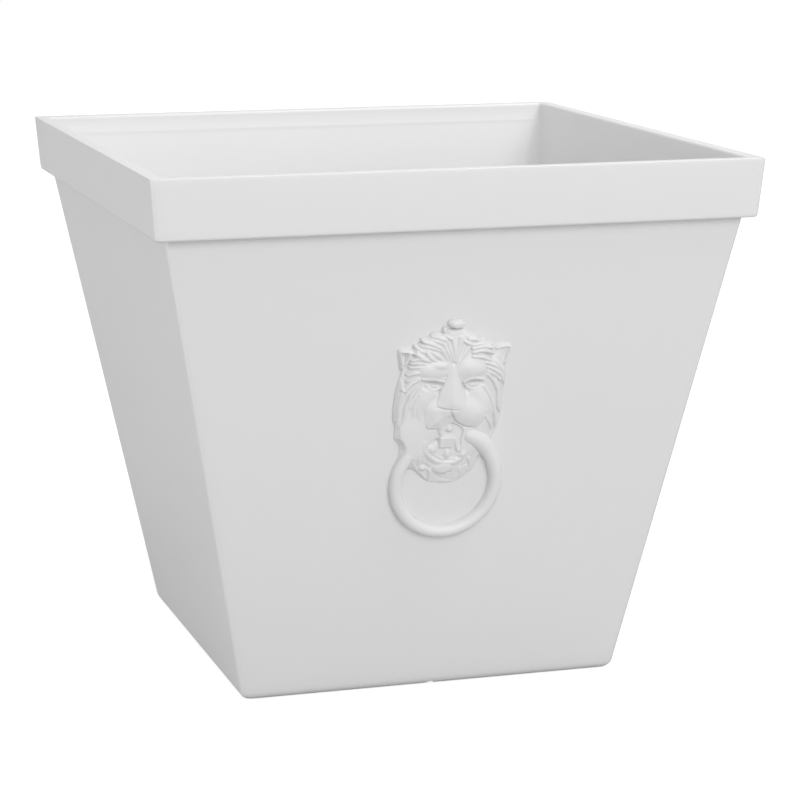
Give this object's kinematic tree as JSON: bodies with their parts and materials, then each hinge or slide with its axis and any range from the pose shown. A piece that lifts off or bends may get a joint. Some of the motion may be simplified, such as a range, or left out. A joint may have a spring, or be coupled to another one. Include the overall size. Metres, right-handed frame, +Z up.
{
  "type": "square planter",
  "caption": "Square tapered planter with a turned-over rim, a raised drained floor and a lion mask with a knocker ring in relief on its front.",
  "frame": {"origin": "on the ground under the middle of the planter", "axes": "+Z up; -Y out of the front wall, which carries the lion mask; +X to the right of someone who looks at the front"},
  "size_m": [0.4, 0.4, 0.3526],
  "materials": {
    "resin": "satin white moulded resin",
    "plug": "matt dark grey moulded rubber"
  },
  "bodies": {
    "planter": {"planter_shell": "resin", "lion_mask": "resin", "knocker_ring": "resin"},
    "plug_front_left": {"drain_plug_front_left": "plug"},
    "plug_front_right": {"drain_plug_front_right": "plug"},
    "plug_back_left": {"drain_plug_back_left": "plug"},
    "plug_back_right": {"drain_plug_back_right": "plug"}
  },
  "joints": [
    {"name": "lift_front_left", "type": "slide", "parent": "planter", "child": "plug_front_left", "axis": [0, 0, 1], "range_m": [0, 0.03]},
    {"name": "lift_front_right", "type": "slide", "parent": "planter", "child": "plug_front_right", "axis": [0, 0, 1], "range_m": [0, 0.03]},
    {"name": "lift_back_left", "type": "slide", "parent": "planter", "child": "plug_back_left", "axis": [0, 0, 1], "range_m": [0, 0.03]},
    {"name": "lift_back_right", "type": "slide", "parent": "planter", "child": "plug_back_right", "axis": [0, 0, 1], "range_m": [0, 0.03]}
  ]
}
